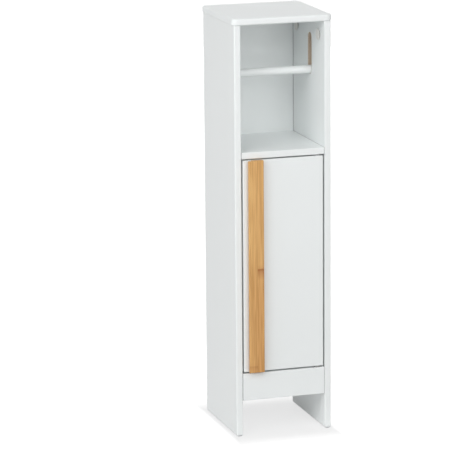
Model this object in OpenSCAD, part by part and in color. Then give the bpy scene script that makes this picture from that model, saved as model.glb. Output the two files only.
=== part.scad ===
// Free-standing toilet paper holder: a slim cabinet with an open niche for
// the roll above a small cupboard. Millimetres, +Z up, the front faces -Y.
// The origin is the middle of the footprint, on the floor.

/* [Overall] */
// Width of the top panel
top_w = 185; // [165:1:240]
// Depth of the top panel
top_d = 185; // [170:1:240]
// Height from the floor to the top surface
total_h = 755; // [700:1:900]

/* [Boards] */
// Thickness of the carcass boards
board_t = 12; // [12:0.5:16]
// How far the top reaches past each side panel
top_side_overhang = 3; // [0:0.5:8]
// How far the top reaches past the front and the back of the side panels
top_end_overhang = 1; // [0:0.5:4]
// Corner radius of the top, seen from above
top_corner_r = 10; // [5:1:20]
// Rounding of the top's long edges
top_edge_r = 3; // [1:0.5:5]
// Rounding of the side panels' outer edges
side_edge_r = 2.5; // [1:0.5:4]
// Rounding of the side panels' lower corners, seen from the side
foot_corner_r = 3; // [1:0.5:8]
// Rounding of the other visible board edges
board_edge_r = 1.2; // [0.5:0.1:2]

/* [Niche and cupboard] */
// Clear height of the open niche
niche_h = 225; // [210:1:260]
// Height of the open gap between the feet
foot_gap_h = 66.5; // [30:0.5:120]
// Height of the plinth board
plinth_h = 49.5; // [42:0.5:90]

/* [Door] */
// Thickness of the door
door_t = 12; // [10:0.5:15]
// Gap beside the door, left and right
door_side_gap = 3; // [2.5:0.1:4]
// Gap above the door
door_top_gap = 2.5; // [2:0.1:4]
// Gap below the door
door_bottom_gap = 3; // [2:0.1:5]

/* [Handle] */
// Width of the bamboo strip
handle_w = 28; // [22:0.5:40]
// How far the strip stands out from the door
handle_t = 10; // [8:0.5:14]
// Distance from the door's free edge to the strip
handle_inset = 7.5; // [3:0.5:20]
// Thickness of the lip in front of the finger groove
handle_lip = 4; // [3:0.5:5]
// Depth of the finger groove, measured from the lip's edge
grip_depth = 7; // [5:0.5:9]
// Rounding of the strip's front edges
handle_edge_r = 1.5; // [0.5:0.1:2]

/* [Paper rod] */
// Diameter of the rod
rod_d = 15; // [12:0.5:18]
// Height of the rod's axis above the niche floor
rod_height = 128; // [100:1:135]
// How far the rod lifts in its slots
rod_lift = 58.5; // [40:0.5:60]
// Width of the slots
slot_w = 19; // [18.5:0.5:24]
// Depth of the slots in the side panels
slot_depth = 6; // [4:0.5:8]
// Chamfer round the mouth of the slots
slot_mouth = 1; // [0.2:0.1:2]
// Distance from the side panel's front edge to the middle of the slot
slot_setback = 80; // [60:0.5:110]
// Play between each end of the rod and the end of its slot
rod_end_play = 1; // [0.5:0.1:2]

/* [Pivots] */
// Diameter of the pivot pins
pin_d = 5; // [4:0.5:6]
// Distance from the door's hinge edge to the pin axis
pivot_inset = 10; // [8:0.5:14]
// Length of each pin inside the door
pin_in_door = 16; // [10:0.5:25]
// Diameter of the pivot bushes
bush_d = 8; // [7.5:0.5:9]
// Length of the pivot bushes below their flange
bush_l = 8; // [6:0.5:8.5]
// Diameter of the bush flanges and of the washer
flange_d = 10; // [9.5:0.5:12]
// Thickness of the bush flanges
flange_t = 1; // [0.5:0.1:1.5]

/* [Cam fittings] */
// Diameter of the cam locks
cam_d = 15; // [12:0.5:16]
// Distance from a board's end to the middle of its cam locks
cam_reach = 24; // [20:0.5:34]
// Distance from the top panel to the middle of the upper cam locks
top_cam_drop = 27.5; // [20:0.5:34]
// Distance from the side panel's edges to the upper cam locks
top_cam_setback = 32.5; // [20:0.5:45]
// Distance from the front and the back of the cabinet to the other cam locks
cam_setback = 40; // [38:0.5:60]
// Distance from the boards above and below to the back panel's cam locks
back_cam_inset = 60; // [40:1:70]
// Diameter of the cam bolts' thread and head
bolt_d = 6; // [5:0.5:6.5]
// Diameter of the cam bolts' shank
shank_d = 4; // [3:0.5:4.5]
// Diameter of the cover caps
cap_d = 20; // [17:0.5:24]
// Thickness of the cover caps
cap_t = 2; // [0.8:0.1:3]

/* [Dowels and screws] */
// Diameter of the wooden dowels
dowel_d = 6; // [5:0.5:6.5]
// Depth of a dowel in the end of a board
dowel_in_end = 16; // [10:0.5:20]
// Distance from the middle of the side panel to each top dowel
top_dowel_offset = 28; // [22:0.5:45]
// Height of the lower plinth dowels above the plinth's bottom edge
plinth_dowel_rise = 12; // [8:0.5:14]
// Distance of the upper plinth dowels below the plinth's top edge
plinth_dowel_drop = 18; // [14:0.5:20]
// Diameter of the handle screws
screw_d = 3.5; // [3:0.5:4]
// Diameter of the handle screws' heads
screw_head_d = 7; // [6:0.5:8]
// Distance from the door's ends to the first and last handle screw
handle_screw_inset = 55; // [30:1:90]

/* [Magnetic catch] */
// Length of the catch with its ears
catch_l = 40; // [34:1:50]
// Length of the catch's middle block
catch_block_l = 22; // [20:0.5:24]
// Depth of the catch from front to back
catch_d = 13; // [11:0.5:14]
// Height of the catch below the shelf
catch_h = 14; // [12:0.5:18]
// Distance from the left side panel to the middle of the catch
catch_offset = 30; // [26:1:60]
// Thickness of the strike plate
strike_t = 1.2; // [0.8:0.1:2]
// Length of the strike plate
strike_l = 34; // [26:1:40]
// Height of the strike plate
strike_h = 12; // [10:0.5:14]

/* [Hidden] */
$fn = 48;

lacquer = "#eef1f0";
bamboo = "#c9985c";
steel = "#b4b8bb";
zinc = "#9ea3a8";
nylon = "#e6e2d6";
beech = "#d8b47e";
ferrite = "#3a3a3d";
white_plastic = "#e9ebea";

sides = [-1, 1];
cut = 1;            // how far a cutting shape reaches past the surface it opens
fit = 0.05;         // radial clearance of a fastener in its hole
seat_gap = 0.2;     // clearance under the rod and in front of the catch
hole_skin = 3;      // what a blind hole leaves of a board

// Plan of the carcass
side_d = top_d - 2 * top_end_overhang;
all_d = handle_t + side_d + top_end_overhang;
front_y = -all_d / 2 + handle_t;
back_y = front_y + side_d;
middle_y = (front_y + back_y) / 2;
outer_x = top_w / 2 - top_side_overhang;
inner_x = outer_x - board_t;
inner_w = 2 * inner_x;
back_panel_y = back_y - board_t;

// Heights
top_under_z = total_h - board_t;
niche_floor_z = top_under_z - niche_h;
shelf_under_z = niche_floor_z - board_t;
floor_z = foot_gap_h + plinth_h;
floor_under_z = floor_z - board_t;
shelf_middle_z = shelf_under_z + board_t / 2;
floor_middle_z = floor_under_z + board_t / 2;

// Door and handle
door_w = inner_w - 2 * door_side_gap;
door_x = door_w / 2;
door_low_z = floor_z + door_bottom_gap;
door_high_z = shelf_under_z - door_top_gap;
door_h = door_high_z - door_low_z;
door_back_y = front_y + door_t;
handle_x = -door_x + handle_inset;
grip_gap = handle_t - handle_lip;
handle_screw_x = handle_x + (grip_depth + handle_w) / 2;
handle_screw_skin = 3;
handle_screw_l = door_t + handle_t - handle_screw_skin;
handle_screw_z = [
    door_low_z + handle_screw_inset,
    (door_low_z + door_high_z) / 2,
    door_high_z - handle_screw_inset
];
countersink_h = 2.2;
screw_tip_l = 3;
recess_w = 0.9;
recess_h = 1.2;

// Pivots
pivot_x = door_x - pivot_inset;
pivot_y = front_y + door_t / 2;
pin_tip_play = 1;
pin_chamfer = 0.5;
pin_in_bush = bush_l - pin_tip_play;
washer_t = door_bottom_gap - flange_t;

// Paper rod and its slots
rod_z = niche_floor_z + rod_height;
slot_y = front_y + slot_setback;
rod_l = inner_w + 2 * (slot_depth - rod_end_play);
rod_end_r = 1;
slot_low_z = rod_z - rod_d / 2 - seat_gap;
slot_high_z = rod_z + rod_lift + rod_d / 2 + seat_gap;
slot_end_z = [slot_low_z + slot_w / 2, slot_high_z - slot_w / 2];

// Cam fittings and dowels
cam_skin = 2.5;
cam_h = board_t - cam_skin;
cam_slack = 0.4;       // clearance of a bolt's head and shank in its lock
cam_chamfer = 0.4;
head_pocket_d = bolt_d + 2 * cam_slack;
head_l = 2.5;
collar_l = 1.5;
bolt_chamfer = 0.5;
channel_d = bolt_d + 2 * cam_slack;
peg_d = 4;
peg_l = 1.5;
cap_rim_r = 0.45 * cap_t;  // rounding of the caps' rim, above and below
tip_play = 0.3;        // room past a thread or a peg in its blind hole
thread_l = board_t - hole_skin - tip_play;
dowel_in_face = board_t - hole_skin;
dowel_end_play = 0.5;
dowel_chamfer = 0.8;
top_cam_y = [front_y + top_cam_setback, back_y - top_cam_setback];
end_cam_y = [front_y + cam_setback, back_y - cam_setback];
end_dowel_y = [middle_y];
top_dowel_y = [middle_y - top_dowel_offset, middle_y + top_dowel_offset];
back_cam_z = [floor_z + back_cam_inset, shelf_under_z - back_cam_inset, top_under_z - back_cam_inset];
back_dowel_z = [(back_cam_z[0] + back_cam_z[1]) / 2, (back_cam_z[1] + back_cam_z[2]) / 2];
plinth_dowel_z = [foot_gap_h + plinth_dowel_rise, floor_z - plinth_dowel_drop];

// Magnetic catch
catch_x = -inner_x + catch_offset;
ear_t = 3;
ear_r = 4;
catch_edge_r = 1.5;
catch_screw_d = 3;
catch_screw_head_d = 5.6;
catch_screw_skin = 4;
catch_screw_l = ear_t + board_t - catch_screw_skin;
catch_screw_x = catch_block_l / 2 + (catch_l - catch_block_l) / 4;
pole_y = door_back_y + strike_t + seat_gap;
pole_proud = 0.5;
catch_y = pole_y + pole_proud;
pole_t = 1.2;
pole_w = 18;
pole_d = 10;
magnet_h = 4;
magnet_d = 9;
pole_wall = 1.2;
pole_low_z = shelf_under_z - catch_h + pole_wall;
strike_drop = 1.5;
strike_corner_r = 2;
strike_z = door_high_z - strike_drop - strike_h;
strike_screw_l = 9;

// Rectangle with its four corners rounded
module soft_rect(a, b, r) {
    translate([r, 0]) square([a - 2 * r, b]);
    translate([0, r]) square([a, b - 2 * r]);
    for (x = [r, a - r])
        for (y = [r, b - r])
            translate([x, y]) circle(r);
}

// Rectangle with only the two corners at its left end rounded
module soft_end(a, b, r) {
    translate([r, 0]) square([a - r, b]);
    translate([0, r]) square([a, b - 2 * r]);
    for (y = [r, b - r])
        translate([r, y]) circle(r);
}

// Draws a child's profile in the YZ plane and pulls it along X from x0
module along_x(x0, length) {
    translate([x0, 0, 0]) rotate([90, 0, 90]) linear_extrude(length) children();
}

// Round bar along +Z with chamfered ends
module turned_bar(d, length, chamfer) {
    rotate_extrude() polygon([
        [0, 0], [d / 2 - chamfer, 0], [d / 2, chamfer],
        [d / 2, length - chamfer], [d / 2 - chamfer, length], [0, length]
    ]);
}

// Board with all its edges rounded, from its lowest corner
module eased_board(w, d, h, r) {
    intersection() {
        linear_extrude(h) soft_rect(w, d, r);
        along_x(0, w) soft_rect(d, h, r);
        translate([0, d, 0]) rotate([90, 0, 0]) linear_extrude(d) soft_rect(w, h, r);
    }
}

// Board between the side panels, with its front edges rounded
module front_board(d, z0, h) {
    intersection() {
        along_x(-inner_x, inner_w) translate([front_y, z0]) soft_end(d, h, board_edge_r);
        translate([inner_x, front_y, z0 - cut]) linear_extrude(h + 2 * cut)
            rotate(90) soft_end(d, inner_w, board_edge_r);
    }
}

// Children on the right side, and their mirror image on the left
module both_sides() {
    children();
    mirror([1, 0, 0]) children();
}

// Places on the right side panel's inner face, with +Z into the panel
module at_side_face(ys, zs) {
    for (y = ys)
        for (z = zs)
            translate([inner_x, y, z]) rotate([0, 90, 0]) children();
}

// Places on the right side panel's upper end, with +Z into the top
module at_side_top(ys) {
    for (y = ys)
        translate([outer_x - board_t / 2, y, top_under_z]) children();
}

// Places of the cam locks: +Z into the board, +X towards its joint
module at_top_cams() {
    for (y = top_cam_y)
        translate([inner_x, y, top_under_z - top_cam_drop])
            rotate([0, 90, 0]) rotate([0, 0, 180]) children();
}

module at_end_cams(face_z) {
    for (y = end_cam_y)
        translate([inner_x - cam_reach, y, face_z]) children();
}

module at_back_cams() {
    for (z = back_cam_z)
        translate([inner_x - cam_reach, back_y, z]) rotate([90, 0, 0]) children();
}

// Cam lock: a drum that is open below, with a slot for the bolt's shank,
// a pocket for its head, a cross for the driver and a hole for the cap's peg
module cam_lock() {
    slot_half = shank_d / 2 + cam_slack;
    pocket_l = head_l + 2 * cam_slack;
    cross_l = cam_d / 1.5;
    difference() {
        turned_bar(cam_d - 2 * fit, cam_h, cam_chamfer);
        translate([0, -slot_half, board_t / 2 - slot_half]) cube([cam_d, 2 * slot_half, cam_h]);
        translate([-pocket_l / 2, 0, board_t / 2]) rotate([0, 90, 0])
            cylinder(d = head_pocket_d, h = pocket_l);
        translate([-pocket_l / 2, -head_pocket_d / 2, board_t / 2])
            cube([pocket_l, head_pocket_d, cam_h]);
        translate([0, 0, -cut]) cylinder(d = peg_d + 2 * fit, h = peg_l + tip_play + cut);
        for (turn = [45, 135])
            rotate(turn) translate([-cross_l / 2, -recess_w, -cut])
                cube([cross_l, 2 * recess_w, recess_h + cut]);
    }
}

module cam_bore() {
    translate([0, 0, -cut]) cylinder(d = cam_d, h = cam_h + 2 * fit + cut);
}

// Cam bolt: the thread points along +Z, the head sits in the lock
module cam_bolt(reach) {
    head_low = -reach - head_l / 2;
    head_high = -reach + head_l / 2;
    full = bolt_d / 2;
    rotate_extrude() polygon([
        [0, head_low], [full - bolt_chamfer, head_low], [full, head_low + bolt_chamfer],
        [full, head_high - bolt_chamfer], [shank_d / 2, head_high],
        [shank_d / 2, -collar_l], [full, -collar_l],
        [full, thread_l - bolt_chamfer], [full - bolt_chamfer, thread_l], [0, thread_l]
    ]);
}

module bolt_thread_hole() {
    translate([0, 0, -cut]) cylinder(d = bolt_d + 2 * fit, h = board_t - hole_skin + cut);
}

module bolt_channel(reach) {
    translate([0, 0, -reach]) cylinder(d = channel_d, h = reach + cut);
}

module dowel() {
    low = -dowel_in_end + dowel_end_play;
    translate([0, 0, low]) turned_bar(dowel_d, dowel_in_face - dowel_end_play - low, dowel_chamfer);
}

module dowel_hole() {
    translate([0, 0, -dowel_in_end]) cylinder(d = dowel_d + 2 * fit, h = dowel_in_end + dowel_in_face);
}

// Countersunk screw that points along +Z, with its head flush at the origin
module wood_screw(d, head_d, length) {
    difference() {
        rotate_extrude() polygon([
            [0, 0], [head_d / 2, 0], [d / 2, countersink_h],
            [d / 2, length - screw_tip_l], [0, length]
        ]);
        for (turn = [0, 90])
            rotate(turn) translate([-head_d / 4, -recess_w / 2, -cut])
                cube([head_d / 2, recess_w, recess_h + cut]);
    }
}

module wood_screw_hole(d, head_d, length) {
    translate([0, 0, -cut]) cylinder(d = d + 2 * fit, h = length + 2 * fit + cut);
    cylinder(d1 = head_d + 2 * fit, d2 = d + 2 * fit, h = countersink_h + fit);
    translate([0, 0, -cut]) cylinder(d = head_d + 2 * fit, h = cut);
}

// Section of the right side panel, from its inner to its outer face
module side_section(start, length) {
    intersection() {
        translate([inner_x - board_t, start]) soft_rect(2 * board_t, length, side_edge_r);
        translate([inner_x, start]) soft_rect(2 * board_t, length, board_edge_r);
    }
}

module side_panel() {
    difference() {
        intersection() {
            linear_extrude(top_under_z) side_section(front_y, side_d);
            along_x(inner_x, board_t) translate([front_y, 0]) soft_rect(side_d, total_h, foot_corner_r);
            translate([0, back_y, 0]) rotate([90, 0, 0]) linear_extrude(side_d) side_section(0, total_h);
        }
        along_x(inner_x - cut, slot_depth + cut) rod_slot();
        slot_chamfer();
        at_top_cams() cam_bore();
        at_side_top(top_cam_y) bolt_channel(top_cam_drop);
        at_side_top(top_dowel_y) dowel_hole();
        at_side_face(end_cam_y, [shelf_middle_z, floor_middle_z]) bolt_thread_hole();
        at_side_face(end_dowel_y, [shelf_middle_z, floor_middle_z]) dowel_hole();
        at_side_face([back_y - board_t / 2], back_cam_z) bolt_thread_hole();
        at_side_face([back_y - board_t / 2], back_dowel_z) dowel_hole();
        at_side_face([front_y + board_t / 2], plinth_dowel_z) dowel_hole();
    }
}

// Round-ended slot that the rod lies in, as a profile in the YZ plane
module rod_slot() {
    translate([slot_y - slot_w / 2, slot_end_z[0]]) square([slot_w, slot_end_z[1] - slot_end_z[0]]);
    for (z = slot_end_z)
        translate([slot_y, z]) circle(d = slot_w);
}

// Chamfer round the slot's mouth in the inner face
module slot_chamfer() {
    grow = slot_mouth + cut;
    for (z = slot_end_z)
        translate([inner_x - cut, slot_y, z]) rotate([0, 90, 0])
            cylinder(d1 = slot_w + 2 * grow, d2 = slot_w, h = grow);
    translate([0, 0, slot_end_z[0]]) linear_extrude(slot_end_z[1] - slot_end_z[0]) polygon([
        [inner_x - cut, slot_y - slot_w / 2 - grow], [inner_x + slot_mouth, slot_y - slot_w / 2],
        [inner_x + slot_mouth, slot_y + slot_w / 2], [inner_x - cut, slot_y + slot_w / 2 + grow]
    ]);
}

module side_panel_right() {
    color(lacquer) side_panel();
}

module side_panel_left() {
    color(lacquer) mirror([1, 0, 0]) side_panel();
}

// Quarter of the top panel's rounded edge, round one of its corners
module top_corner() {
    rotate_extrude(angle = 90) intersection() {
        translate([-top_corner_r, 0]) soft_rect(2 * top_corner_r, board_t, top_edge_r);
        square([top_corner_r + cut, board_t + cut]);
    }
}

module top_panel() {
    front = front_y - top_end_overhang;
    back = back_y + top_end_overhang;
    corner_x = top_w / 2 - top_corner_r;
    corners = [
        [corner_x, back - top_corner_r], [-corner_x, back - top_corner_r],
        [-corner_x, front + top_corner_r], [corner_x, front + top_corner_r]
    ];
    color(lacquer) difference() {
        union() {
            along_x(-corner_x, 2 * corner_x) translate([front, top_under_z])
                soft_rect(top_d, board_t, top_edge_r);
            translate([0, back - top_corner_r, 0]) rotate([90, 0, 0])
                linear_extrude(top_d - 2 * top_corner_r) translate([-top_w / 2, top_under_z])
                    soft_rect(top_w, board_t, top_edge_r);
            for (i = [0 : 3])
                translate([corners[i].x, corners[i].y, top_under_z]) rotate(90 * i) top_corner();
        }
        both_sides() at_side_top(top_cam_y) bolt_thread_hole();
        both_sides() at_side_top(top_dowel_y) dowel_hole();
    }
}

// Holes in a board that is held by its ends, seen from the right end
module end_joint_holes(face_z) {
    at_end_cams(face_z) cam_bore();
    at_side_face(end_cam_y, [face_z + board_t / 2]) bolt_channel(cam_reach);
    at_side_face(end_dowel_y, [face_z + board_t / 2]) dowel_hole();
}

module middle_shelf() {
    color(lacquer) difference() {
        front_board(back_panel_y - front_y, shelf_under_z, board_t);
        both_sides() end_joint_holes(shelf_under_z);
        translate([pivot_x, pivot_y, shelf_under_z - cut])
            cylinder(d = bush_d + 2 * fit, h = bush_l + 2 * fit + cut);
        at_catch_screws() wood_screw_hole(catch_screw_d, catch_screw_head_d, catch_screw_l);
    }
}

module bottom_panel() {
    color(lacquer) difference() {
        translate([-inner_x, front_y + board_t, floor_under_z])
            cube([inner_w, back_panel_y - front_y - board_t, board_t]);
        both_sides() end_joint_holes(floor_under_z);
    }
}

module plinth_board() {
    color(lacquer) difference() {
        front_board(board_t, foot_gap_h, plinth_h);
        both_sides() at_side_face([front_y + board_t / 2], plinth_dowel_z) dowel_hole();
        translate([pivot_x, pivot_y, floor_z + cut]) mirror([0, 0, 1])
            cylinder(d = bush_d + 2 * fit, h = bush_l + 2 * fit + cut);
    }
}

// Back of the niche and the cupboard, with its upright front edges eased
module back_panel() {
    color(lacquer) difference() {
        translate([inner_x, back_panel_y, floor_under_z]) linear_extrude(top_under_z - floor_under_z)
            rotate(90) soft_end(board_t, inner_w, board_edge_r);
        both_sides() at_back_cams() cam_bore();
        both_sides() at_side_face([back_y - board_t / 2], back_cam_z) bolt_channel(cam_reach);
        both_sides() at_side_face([back_y - board_t / 2], back_dowel_z) dowel_hole();
    }
}

// Places of the handle's screws on the door's back, with +Z to the front
module at_handle_screws() {
    for (z = handle_screw_z)
        translate([handle_screw_x, door_back_y, z]) rotate([90, 0, 0]) children();
}

module door_panel() {
    color(lacquer) difference() {
        translate([-door_x, front_y, door_low_z]) eased_board(door_w, door_t, door_h, board_edge_r);
        translate([pivot_x, pivot_y, door_low_z - cut])
            cylinder(d = pin_d + 2 * fit, h = pin_in_door + 2 * fit + cut);
        translate([pivot_x, pivot_y, door_high_z + cut]) mirror([0, 0, 1])
            cylinder(d = pin_d + 2 * fit, h = pin_in_door + 2 * fit + cut);
        at_handle_screws() wood_screw_hole(screw_d, screw_head_d, handle_screw_l);
        at_strike_screw() wood_screw_hole(catch_screw_d, catch_screw_head_d, strike_screw_l);
    }
}

// Bamboo strip with a finger groove behind its left edge
module door_handle() {
    groove_r = 2.5;
    color(bamboo) difference() {
        intersection() {
            translate([handle_x, front_y - handle_t, door_low_z]) linear_extrude(door_h) difference() {
                translate([handle_w, 0]) rotate(90) soft_end(handle_t, handle_w, handle_edge_r);
                translate([-cut, handle_lip]) square([grip_depth - groove_r + cut, grip_gap + cut]);
                translate([-cut, handle_lip + groove_r])
                    square([grip_depth + cut, grip_gap - groove_r + cut]);
                translate([grip_depth - groove_r, handle_lip + groove_r]) circle(groove_r);
            }
            along_x(handle_x, handle_w) translate([front_y - handle_t, door_low_z])
                soft_end(handle_t, door_h, handle_edge_r);
        }
        at_handle_screws() wood_screw_hole(screw_d, screw_head_d, handle_screw_l);
    }
}

module handle_screws() {
    color(steel) at_handle_screws() wood_screw(screw_d, screw_head_d, handle_screw_l);
}

module pivot_pins() {
    color(steel) {
        translate([pivot_x, pivot_y, floor_z - pin_in_bush])
            turned_bar(pin_d, pin_in_bush + door_bottom_gap + pin_in_door, pin_chamfer);
        translate([pivot_x, pivot_y, door_high_z - pin_in_door])
            turned_bar(pin_d, pin_in_door + door_top_gap + pin_in_bush, pin_chamfer);
    }
}

// Flanged bush with its flange below the origin and its sleeve above
module pivot_bush() {
    difference() {
        union() {
            translate([0, 0, -flange_t]) cylinder(d = flange_d, h = flange_t);
            cylinder(d = bush_d, h = bush_l);
        }
        translate([0, 0, -flange_t - cut])
            cylinder(d = pin_d + 2 * fit, h = flange_t + bush_l + 2 * cut);
    }
}

module pivot_bushes() {
    color(nylon) {
        translate([pivot_x, pivot_y, shelf_under_z]) pivot_bush();
        translate([pivot_x, pivot_y, floor_z]) mirror([0, 0, 1]) pivot_bush();
    }
}

// Washer that carries the door on the lower bush
module pivot_washer() {
    color(nylon) translate([pivot_x, pivot_y, floor_z + flange_t]) difference() {
        cylinder(d = flange_d, h = washer_t);
        translate([0, 0, -cut]) cylinder(d = pin_d + 2 * fit, h = washer_t + 2 * cut);
    }
}

module paper_rod() {
    color(lacquer) translate([-rod_l / 2, slot_y, rod_z]) rotate([0, 90, 0])
        rotate_extrude() intersection() {
            translate([-rod_d / 2, 0]) soft_rect(rod_d, rod_l, rod_end_r);
            translate([0, -cut]) square([rod_d, rod_l + 2 * cut]);
        }
}

module top_cam_locks() {
    color(zinc) both_sides() at_top_cams() cam_lock();
}

module top_cam_bolts() {
    color(steel) both_sides() at_side_top(top_cam_y) cam_bolt(top_cam_drop);
}

// Cover caps over the cam locks that show in the niche
module cam_caps() {
    color(white_plastic) both_sides() at_top_cams() {
        cylinder(d = peg_d, h = peg_l);
        mirror([0, 0, 1]) rotate_extrude() intersection() {
            translate([-cap_d / 2, 0]) soft_rect(cap_d, cap_t, cap_rim_r);
            square([cap_d, cap_t]);
        }
    }
}

module top_dowels() {
    color(beech) both_sides() at_side_top(top_dowel_y) dowel();
}

module shelf_cam_locks() {
    color(zinc) both_sides() at_end_cams(shelf_under_z) cam_lock();
}

module shelf_cam_bolts() {
    color(steel) both_sides() at_side_face(end_cam_y, [shelf_middle_z]) cam_bolt(cam_reach);
}

module shelf_dowels() {
    color(beech) both_sides() at_side_face(end_dowel_y, [shelf_middle_z]) dowel();
}

module floor_cam_locks() {
    color(zinc) both_sides() at_end_cams(floor_under_z) cam_lock();
}

module floor_cam_bolts() {
    color(steel) both_sides() at_side_face(end_cam_y, [floor_middle_z]) cam_bolt(cam_reach);
}

module floor_dowels() {
    color(beech) both_sides() at_side_face(end_dowel_y, [floor_middle_z]) dowel();
}

module back_cam_locks() {
    color(zinc) both_sides() at_back_cams() cam_lock();
}

module back_cam_bolts() {
    color(steel) both_sides() at_side_face([back_y - board_t / 2], back_cam_z) cam_bolt(cam_reach);
}

module back_dowels() {
    color(beech) both_sides() at_side_face([back_y - board_t / 2], back_dowel_z) dowel();
}

module plinth_dowels() {
    color(beech) both_sides() at_side_face([front_y + board_t / 2], plinth_dowel_z) dowel();
}

// Places of the catch's screws under its ears, with +Z up into the shelf
module at_catch_screws() {
    for (side = sides)
        translate([catch_x + side * catch_screw_x, catch_y + catch_d / 2, shelf_under_z - ear_t])
            children();
}

// Place of the strike plate's screw, with +Z to the front
module at_strike_screw() {
    translate([catch_x, door_back_y + strike_t, strike_z + strike_h / 2]) rotate([90, 0, 0]) children();
}

module catch_housing() {
    color(white_plastic) difference() {
        union() {
            translate([catch_x - catch_block_l / 2, catch_y, shelf_under_z - catch_h])
                linear_extrude(catch_h) soft_rect(catch_block_l, catch_d, catch_edge_r);
            translate([catch_x - catch_l / 2, catch_y, shelf_under_z - ear_t])
                linear_extrude(ear_t) soft_rect(catch_l, catch_d, ear_r);
        }
        translate([catch_x - pole_w / 2, catch_y - cut, pole_low_z])
            cube([pole_w, pole_d + cut, magnet_h + 2 * pole_t]);
        at_catch_screws() wood_screw_hole(catch_screw_d, catch_screw_head_d, catch_screw_l);
    }
}

module catch_magnet() {
    color(ferrite) translate([catch_x - pole_w / 2, catch_y + pole_d - magnet_d, pole_low_z + pole_t])
        cube([pole_w, magnet_d, magnet_h]);
}

module catch_pole_plates() {
    color(steel)
        for (z = [pole_low_z, pole_low_z + pole_t + magnet_h])
            translate([catch_x - pole_w / 2, pole_y, z]) cube([pole_w, pole_proud + pole_d, pole_t]);
}

module catch_screws() {
    color(steel) at_catch_screws() wood_screw(catch_screw_d, catch_screw_head_d, catch_screw_l);
}

module strike_plate() {
    color(steel) difference() {
        translate([catch_x - strike_l / 2, door_back_y + strike_t, strike_z]) rotate([90, 0, 0])
            linear_extrude(strike_t) soft_rect(strike_l, strike_h, strike_corner_r);
        at_strike_screw() wood_screw_hole(catch_screw_d, catch_screw_head_d, strike_screw_l);
    }
}

module strike_screw() {
    color(steel) at_strike_screw() wood_screw(catch_screw_d, catch_screw_head_d, strike_screw_l);
}

side_panel_left();
side_panel_right();
top_panel();
middle_shelf();
bottom_panel();
plinth_board();
back_panel();
door_panel();
door_handle();
handle_screws();
pivot_pins();
pivot_bushes();
pivot_washer();
paper_rod();
top_cam_locks();
top_cam_bolts();
cam_caps();
top_dowels();
shelf_cam_locks();
shelf_cam_bolts();
shelf_dowels();
floor_cam_locks();
floor_cam_bolts();
floor_dowels();
back_cam_locks();
back_cam_bolts();
back_dowels();
plinth_dowels();
catch_housing();
catch_magnet();
catch_pole_plates();
catch_screws();
strike_plate();
strike_screw();
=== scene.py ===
# Looks of a slim free-standing bathroom cabinet for paper rolls: lacquered boards, a bamboo strip
# handle, turned and threaded fittings, and the studio that shows them. Metres, +Z up, the front
# faces -Y.

import math

import bmesh
import bpy
from bpy.props import FloatProperty, FloatVectorProperty, IntProperty, PointerProperty
from bpy.types import Operator, Panel, PropertyGroup
from mathutils import Matrix, Vector


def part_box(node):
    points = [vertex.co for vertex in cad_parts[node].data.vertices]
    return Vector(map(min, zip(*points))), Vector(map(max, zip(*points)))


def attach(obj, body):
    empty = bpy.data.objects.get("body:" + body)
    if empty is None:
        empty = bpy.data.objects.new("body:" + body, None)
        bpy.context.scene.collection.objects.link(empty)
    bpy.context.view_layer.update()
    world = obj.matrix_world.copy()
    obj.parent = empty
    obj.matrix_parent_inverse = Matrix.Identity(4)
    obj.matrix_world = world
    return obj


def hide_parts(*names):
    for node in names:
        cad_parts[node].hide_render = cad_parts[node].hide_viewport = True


bl_info = {
    "name": "Roll Cabinet Looks",
    "version": (1, 0, 0),
    "blender": (4, 5, 0),
    "location": "3D View > Sidebar > Roll Cabinet",
    "description": "Finishes, fittings and studio of a slim bathroom cabinet for paper rolls",
    "category": "Object",
}

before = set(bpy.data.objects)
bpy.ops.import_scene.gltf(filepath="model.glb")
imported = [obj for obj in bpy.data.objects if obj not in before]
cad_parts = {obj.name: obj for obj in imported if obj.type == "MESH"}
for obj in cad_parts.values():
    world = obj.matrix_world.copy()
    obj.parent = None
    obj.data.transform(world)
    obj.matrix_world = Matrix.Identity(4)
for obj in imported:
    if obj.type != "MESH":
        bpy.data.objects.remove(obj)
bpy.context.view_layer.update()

MM = 0.001
UP = Vector((0, 0, 1))
FORWARD = Vector((0, -1, 0))
WHITE = (1.0, 1.0, 1.0)

# Vertices nearer than WELD become one, edges beyond SHARP_ANGLE stay sharp, and a face is square to
# an axis when the cosine between the two is above SQUARE_FACE
WELD = 2e-6
SHARP_ANGLE = math.radians(35)
SQUARE_FACE = math.cos(math.radians(0.5))

# Sizes of the fittings, in step with their solids and bores
COUNTERSINK = 2.2 * MM
SCREW_TIP = 3 * MM
HANDLE_SCREW = 3.5 * MM
SMALL_SCREW = 3.0 * MM
BOLT_RADIUS = 3 * MM
BOLT_SHANK = 4 * MM
BOLT_HEAD = 2.5 * MM
BOLT_COLLAR = 1.5 * MM
BOLT_THREAD = 8.7 * MM
BOLT_SLACK = 0.4 * MM
DOWEL_CHAMFER = 0.8 * MM
PEG_RADIUS = 2 * MM
PEG_HOLE = 2.05 * MM
CAP_HEIGHT = 2 * MM
CAP_RIM = 0.4 * MM
# How far the neck of a cap is set in under its rim
CAP_NECK = 2.5 * MM

BETWEEN_SIDES = ("middle_shelf", "bottom_panel", "plinth_board", "back_panel")
BOARDS = (*BETWEEN_SIDES, "door_panel")
SIDE_PANELS = ("side_panel_left", "side_panel_right")
# How far inside a side panel's box the raw board of the rod's slot starts; across X it starts
# right under the face
SLOT_MARGIN = Vector((-0.8, 20, 20)) * MM

# Colours that darken a finish in places: a joint line that is partly painted corner shade, a
# painted contact shadow at the foot of a side panel, and stains of the bamboo and the beech
JOINT_LINE_AND_CORNER_SHADE = (0.30, 0.30, 0.31)
SOLE_PAINTED_SHADOW = (0.60, 0.60, 0.61)
LOWER_CANE = (0.89, 0.81, 0.74)
CANE_NODE = (0.58, 0.38, 0.26)
GLUE_LINE = (0.62, 0.50, 0.40)
BEECH_PORES = (0.66, 0.55, 0.45)
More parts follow.
